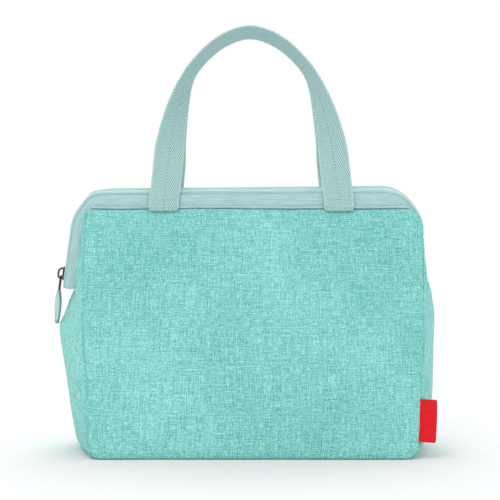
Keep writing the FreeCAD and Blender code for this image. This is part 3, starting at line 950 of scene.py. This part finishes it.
def handle(side):
    """One webbing handle, flat on the band at its feet and turned over at the top."""
    stations = ARCH + [(-x, y, z, twist) for x, y, z, twist in ARCH[-2::-1]]
    path = catmull(stations, 6)
    rows = []
    uv_rows = []
    reach = 0.0
    for i, (x, y, z, twist) in enumerate(path):
        before = path[max(i - 1, 0)]
        after = path[min(i + 1, len(path) - 1)]
        along = (Vector(after[:3]) - Vector(before[:3])).normalized()
        inward = Vector((0, -1, 0)).cross(along).normalized()
        forward = along.cross(inward).normalized()
        angle = math.radians(twist)
        wide = inward * math.cos(angle) + forward * math.sin(angle)
        thick = along.cross(wide)
        if i:
            reach += math.dist(path[i - 1][:3], path[i][:3])
        row = []
        uv_row = []
        for a, b in WEB_EDGE:
            middle = Vector((x - ARCH_LEAN * ease(221, 330, z), y, z))
            place = middle + wide * a + thick * b
            row.append(Vector((place.x, place.y * -side, place.z)))
            uv_row.append(((a + WEB_HALF) * MM, reach * MM))
        rows.append(row)
        uv_rows.append(uv_row)
    name = f"{SIDE_NAME[side]}_handle_webbing"
    piece = grid(name, rows, uv_rows, WEBBING, levels=0, closed=True, flip=side > 0)
    cap_ends(piece, len(WEB_EDGE), len(rows))
    subdivide(piece, 1)
    settle(piece)
    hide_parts(f"{SIDE_NAME[side]}_handle", f"{SIDE_NAME[side]}_handle_ends")
    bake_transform(piece)


def handle_feet(side):
    """The turned-under end of each leg and its box of stitches."""
    half = SIDE_NAME[side]
    stitches = []
    for leg in (-1, 1):
        centre = -leg * ARCH[0][0]
        fold = []
        for i in range(13):
            t = i / 12
            z = 202.2 - 0.3 * math.sin(math.pi * t)
            fold.append(Vector((centre + mix(-11.9, 11.9, t), side * 27.2, z)))
        piece = tube(f"{half}_{END_NAME[leg]}_handle_fold", fold, 1.5, WEBBING, flat=0.9)
        seat(piece, MOUTH[side], "webbing")
        for z in (204.6, 211.2):
            for k in range(8):
                x = centre + mix(-10.8, 10.8, k / 8)
                y = side * (27.6 if z < 208 else 25.9)
                stitches.append((Vector((x, y, z)), Vector((x + 2.1, y, z))))
        for edge in (-10.8, 10.8):
            for k in range(2):
                first = Vector((centre + edge, side * (27.4 - 0.9 * k), 205.2 + 3.0 * k))
                stitches.append((first, first + Vector((0, -side * 0.6, 2.2))))
    seam = capsule_row(f"{half}_handle_stitches", stitches, 0.36, THREAD)
    seat(seam, MOUTH[side], "thread", f"{half}_handle_stitching")


def tail_place(up, y, out):
    """A point set out from the ridge's lower left end."""
    return RIDGE[0][0] + TAIL_UP * up + TAIL_OUT * out + Vector((0, y, 0))


def rounded_plate(name, outline, low, high, material, bevel=0.35):
    """A plate in the tail's own directions: outline holds (up, y) pairs."""
    count = len(outline)
    points = [tail_place(up, y, out) for out in (low, high) for up, y in outline]
    faces = [list(range(count)), list(range(count, 2 * count))[::-1]]
    for k in range(count):
        n = (k + 1) % count
        faces.append([k, count + k, count + n, n])
    uvs = [(p.y * MM, p.z * MM) for p in points]
    piece = make_object(name, points, faces, uvs, material)
    edge = piece.modifiers.new("edge", "BEVEL")
    edge.width = bevel * MM
    edge.segments = 3
    edge.limit_method = "ANGLE"
    return settle(piece)


def arc_points(centre, radius, first, last, count):
    """Points on an arc between two angles in degrees."""
    angles = [math.radians(mix(first, last, i / count)) for i in range(count + 1)]
    return [(centre[0] + radius * math.cos(a), centre[1] + radius * math.sin(a)) for a in angles]


def slider_pieces():
    """The slider's plate, wing and bail, the pull link and the pull tab."""
    slider_up = 6.0
    low, high = 0.6, 2.1
    shoulder = slider_up + 10.4
    outline = arc_points((slider_up + 2.4, 0.0), 2.4, 270, 90, 8)
    outline += [(slider_up + 6.0, 3.0), (slider_up + 9.0, 4.4)]
    outline += arc_points((shoulder, 3.0), 1.6, 80, 0, 5) + arc_points((shoulder, -3.0), 1.6, 0, -80, 5)
    outline += [(slider_up + 9.0, -4.4), (slider_up + 6.0, -3.0)]
    body = rounded_plate("slider_top_plate", outline, low, high, METAL)
    flank = [(slider_up + up, y) for up, y in ((3.0, -5.6), (3.0, -4.2), (11.5, -4.4), (11.5, -5.6))]
    wing = rounded_plate("slider_wing", flank, -0.5, high, METAL)
    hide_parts("slider_body")
    arch = ((1.8, -0.3), (1.9, 2.6), (3.2, 3.9), (6.0, 4.1), (8.8, 3.6), (10.2, 1.6), (10.4, -0.3))
    loop = [tuple(tail_place(slider_up + up, 0, high + out)) for up, out in arch]
    bail = tube("slider_bail_arch", [Vector(p) for p in catmull(loop, 5)], 0.8, METAL, sides=10)
    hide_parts("slider_bail")
    for piece in (body, wing, bail):
        seat(piece, "slider", "dark_metal")
    link_at = Vector(joint("link_swing")["pos_m"]) / MM
    tab_at = Vector(joint("tab_swing")["pos_m"]) / MM
    down = (tab_at - link_at).normalized()
    reach = (tab_at - link_at).length
    corner = 1.2
    half = 2.8
    shape = []
    corners = (((-corner, half - corner), 0), ((-corner, corner - half), 270),
               ((corner - reach, corner - half), 180), ((corner - reach, half - corner), 90))
    for centre, first in corners:
        shape += arc_points(centre, corner, first + 90, first, 5)
    path = [link_at - down * up + Vector((0, y, 0)) for up, y in shape]
    closed = path + [path[0], path[1]]
    link = tube("pull_link_ring", closed, 0.62, METAL, sides=10)
    seat(link, "pull_link", "dark_metal", "pull_link")
    pull_tab(tab_at, down)


TAB_CURL = 1.6  # how far the tab's end curls towards the bag


def pull_tab(tab_at, down):
    """A strip of webbing folded through the link and sewn to itself."""
    out = down.cross(Vector((0, 1, 0))).normalized()
    if out.x > 0:
        out = -out
    length = 27.0
    half_width = 5.0
    outline = []
    for i in range(25):
        t = i / 24
        gap = 1.5 + 0.9 * ease(0.02, 0.3, t) - 1.0 * ease(0.5, 1.0, t)
        outline.append((mix(-0.6, length, t), gap))
    loop = [(-1.3, 0.0), (-1.15, 0.75)] + outline
    profile = loop + [(p, -g) for p, g in reversed(loop[1:])]
    rows = []
    uv_rows = []
    for j in range(9):
        y = mix(-half_width, half_width, j / 8)
        draw = 0.25 if j in (0, 8) else 0.0
        row = []
        uv_row = []
        for k, (fall, gap) in enumerate(profile):
            curl = -TAB_CURL * max(fall, 0.0) / length
            side_gap = math.copysign(max(abs(gap) - draw, 0.05), gap) if gap else 0.0
            row.append(tab_at + down * fall + out * (side_gap + curl) + Vector((0, y, 0)))
            uv_row.append(((y + WEB_HALF) * MM, (fall if gap >= 0 else -fall) * MM))
        rows.append(row)
        uv_rows.append(uv_row)
    tab = grid("pull_tab_webbing", rows, uv_rows, WEBBING, levels=0, closed=True)
    cap_ends(tab, len(profile), len(rows))
    subdivide(tab, 1)
    settle(tab)
    seat(tab, "pull_tab", "webbing", "pull_tab")
    stitches = []
    for fall in (4.2, length - 3.0):
        for k in range(3):
            y = mix(-3.9, 1.5, k / 2)
            gap = 2.0 if fall < 10 else 1.5
            at = tab_at + down * fall + out * (gap - TAB_CURL * fall / length + 0.15)
            stitches.append((at + Vector((0, y, 0)), at + Vector((0, y + 2.3, 0))))
    seam = capsule_row("pull_tab_stitches", stitches, 0.3, THREAD)
    seat(seam, "pull_tab", "thread")


LABEL_WIDTH = 14.2


def side_label():
    """The woven tab in the right front seam."""
    low, high = box_mm("side_label")
    rows = []
    uv_rows = []
    for i in range(13):
        z = mix(low.z, high.z, i / 12)
        root = facet_point(0.0, z, 0.0, 1, -1)
        row = []
        for j in range(9):
            t = j / 8
            y = root.y - 1.2 - 0.8 * math.sin(2.2 * t) + 0.25 * math.sin(z * 0.3)
            row.append(Vector((root.x - 1.2 + LABEL_WIDTH * t, y, z - 0.9 * t)))
        rows.append(row)
        uv_rows.append([(j / 8 * LABEL_WIDTH * MM, z * MM) for j in range(9)])
    label = grid("side_label_tab", rows, uv_rows, RED, 0.9)
    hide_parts("side_label")
    seat(label, "tub", "label")


ELASTIC_OVER = 3.0  # how far the elastic laps over the net


def inner_pieces():
    """The mesh pocket with its elastic edge, the inner binding and the zip's end stop."""
    low, high = box_mm("mesh_pocket")
    columns, count = 62, 20
    points = []
    spots = []
    for i in range(count + 1):
        z = mix(low.z, high.z, i / count)
        y = -panel_y(z) - 6.6 - 1.2
        places = [(mix(low.x, high.x, j / columns), y, z) for j in range(columns + 1)]
        points.append([soft_shift(place, CLOTH_SHIFT) for place in places])
    for i in range(count):
        for j in range(columns):
            if (i + j) % 2 == 0:
                spots.append((points[i][j], points[i + 1][j + 1]))
                if j:
                    spots.append((points[i][j], points[i + 1][j - 1]))
    net = capsule_row("pocket_net", spots, 0.28, MESH, sides=4)
    seat(net, "tub", "mesh", "mesh_pocket")
    low, high = box_mm("pocket_elastic")
    rows = []
    for i in range(5):
        z = mix(low.z - ELASTIC_OVER, high.z, i / 4)
        y = -panel_y(z) - 8.4
        places = [(mix(low.x, high.x, j / 60), y + 0.5 * math.sin(j * 1.1), z) for j in range(61)]
        rows.append([soft_shift(place, CLOTH_SHIFT) for place in places])
    elastic = grid("pocket_elastic_edge", rows, cloth_uvs(rows), BINDING, 1.2)
    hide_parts("pocket_elastic")
    seat(elastic, "tub", "binding")
    for side in (-1, 1):
        path = []
        for i in range(61):
            x = mix(-112.0, 108.0, i / 60)
            path.append(Vector((x, side * 17.8, RIM_Z + 4.0)))
        binding = tube(f"{SIDE_NAME[side]}_binding_fold", path, 2.4, BINDING, flat=0.4)
        seat(binding, MOUTH[side], "binding", f"{SIDE_NAME[side]}_rim_binding")
    crimp = [(0.6, -3.4), (0.6, -0.2), (2.8, -0.2), (2.8, -3.4)]
    stop = rounded_plate("zip_stop_crimp", crimp, -0.5, 0.4, METAL, 0.2)
    seat(stop, "front_mouth", "dark_metal", "zip_end_stop")


# ---- Build ----

def floor():
    """A wide disc under the bag."""
    rings = [0.5, 300.0, 700.0, 1600.0, 9000.0]
    turns = [math.radians(a) for a in range(0, 360, 6)]
    rows = [[Vector((r * math.cos(t), r * math.sin(t), 0)) for t in turns] for r in rings]
    uvs = [[(p.x * MM, p.y * MM) for p in row] for row in rows]
    grid("floor", rows, uvs, floor_material(), levels=0, closed=True, flip=True)


floor()
body_layers()
pleat_turn_ins()
base_piece("base_cloth", 0.0, 2.4, 0.05, 1.0, SHELL, ["base_panel"])
base_piece("base_foam_sheet", 3.0, 4.2, 3.2, 2.4, FOAM, ["base_foam_lower"])
base_piece("base_liner", 5.2, 8.0, 6.6, 0.6, LINER, ["liner_tub"])
zip_pieces()
seam_ridges()
rim_welts()
for which in (-1, 1):
    handle(which)
    handle_feet(which)
slider_pieces()
side_label()
inner_pieces()

board_material = film_material("base_board_plastic", rgb(60, 62, 64))
board = frame["nodes"]["base_board"]
board.data.materials.clear()
board.data.materials.append(board_material)
